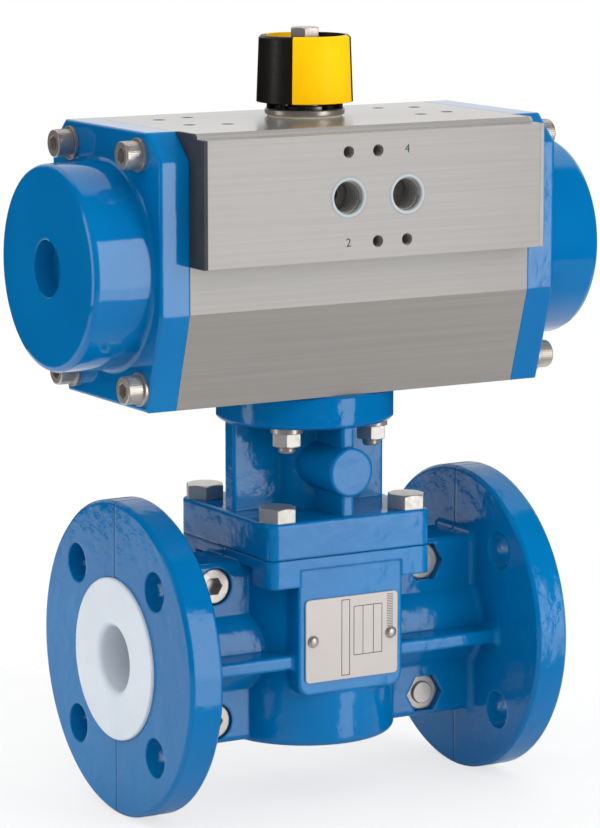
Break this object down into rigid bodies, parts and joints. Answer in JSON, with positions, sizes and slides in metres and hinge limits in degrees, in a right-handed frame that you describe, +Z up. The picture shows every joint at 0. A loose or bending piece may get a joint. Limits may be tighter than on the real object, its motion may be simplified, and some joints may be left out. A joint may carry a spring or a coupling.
{
  "type": "plug valve",
  "caption": "Lined flanged plug valve, split body, turned by a pneumatic rack-and-pinion actuator with a two-colour position indicator",
  "frame": {"origin": "centre of the flow way on the stem axis", "axes": "X along the pipe, Z up the stem, -Y towards the side with the nameplate and the air ports"},
  "size_m": [0.2088, 0.115, 0.2816],
  "materials": {
    "blue_paint": "gloss enamel over cast iron and cast aluminium",
    "liner_plastic": "smooth milky fluoroplastic",
    "stainless": "bright, lightly worn",
    "zinc_steel": "zinc plated",
    "plain_steel": "turned, oiled",
    "anodised": "brushed along the length and clear anodised",
    "cast_aluminium": "machined",
    "nameplate_metal": "fine brushed sheet",
    "black_plate": "satin black",
    "black_plastic": "satin moulded",
    "yellow_plastic": "satin moulded",
    "port_rubber": "pale grey, smooth",
    "black_rubber": "smooth",
    "bearing_plastic": "turned acetal"
  },
  "bodies": {
    "valve_frame": {"body_half_front": "blue_paint", "body_half_rear": "blue_paint", "body_liner": "liner_plastic", "body_screws": "stainless", "body_nuts": "zinc_steel", "cover_yoke": "blue_paint", "cover_bolts": "zinc_steel", "stem_diaphragm": "liner_plastic", "thrust_ring": "plain_steel", "packing_rings": "liner_plastic", "packing_gland": "plain_steel", "stem_bush": "bearing_plastic", "nameplate": "nameplate_metal", "nameplate_rivets": "stainless", "actuator_studs": "stainless", "actuator_nuts": "zinc_steel", "actuator_washers": "stainless", "centring_ring": "plain_steel", "actuator_housing": "anodised", "panel_end_plates": "black_plate", "port_rings": "port_rubber", "end_cap_left": "blue_paint", "end_cap_right": "blue_paint", "cap_seal_left": "black_rubber", "cap_seal_right": "black_rubber", "cap_screws_left": "stainless", "cap_screws_right": "stainless", "cap_washers_left": "stainless", "cap_washers_right": "stainless", "pinion_bush_bottom": "bearing_plastic", "pinion_bush_top": "bearing_plastic", "slide_washer": "bearing_plastic"},
    "plug_train": {"plug_core": "stainless", "plug_lining": "liner_plastic", "pinion": "cast_aluminium", "pinion_oring_bottom": "black_rubber", "pinion_oring_top": "black_rubber", "thrust_washer": "stainless", "snap_ring": "plain_steel", "indicator_cup": "black_plastic", "indicator_marks": "yellow_plastic", "indicator_screw": "stainless"},
    "right_piston_set": {"piston_right": "cast_aluminium", "piston_seal_right": "black_rubber", "guide_band_right": "bearing_plastic", "rack_pad_right": "bearing_plastic"},
    "left_piston_set": {"piston_left": "cast_aluminium", "piston_seal_left": "black_rubber", "guide_band_left": "bearing_plastic", "rack_pad_left": "bearing_plastic"}
  },
  "joints": [
    {"name": "plug_turn", "type": "hinge", "parent": "valve_frame", "child": "plug_train", "pos_m": [0, 0, 0], "axis": [0, 0, 1], "range_deg": [-90, 0]},
    {"name": "piston_right_slide", "type": "slide", "parent": "valve_frame", "child": "right_piston_set", "axis": [1, 0, 0], "range_m": [-0.01885, 0]},
    {"name": "piston_left_slide", "type": "slide", "parent": "valve_frame", "child": "left_piston_set", "axis": [1, 0, 0], "range_m": [0, 0.01885]}
  ],
  "couplings": [
    {"joint": "piston_right_slide", "follows": "plug_turn", "m_per_rad": 0.012},
    {"joint": "piston_left_slide", "follows": "plug_turn", "m_per_rad": -0.012}
  ]
}
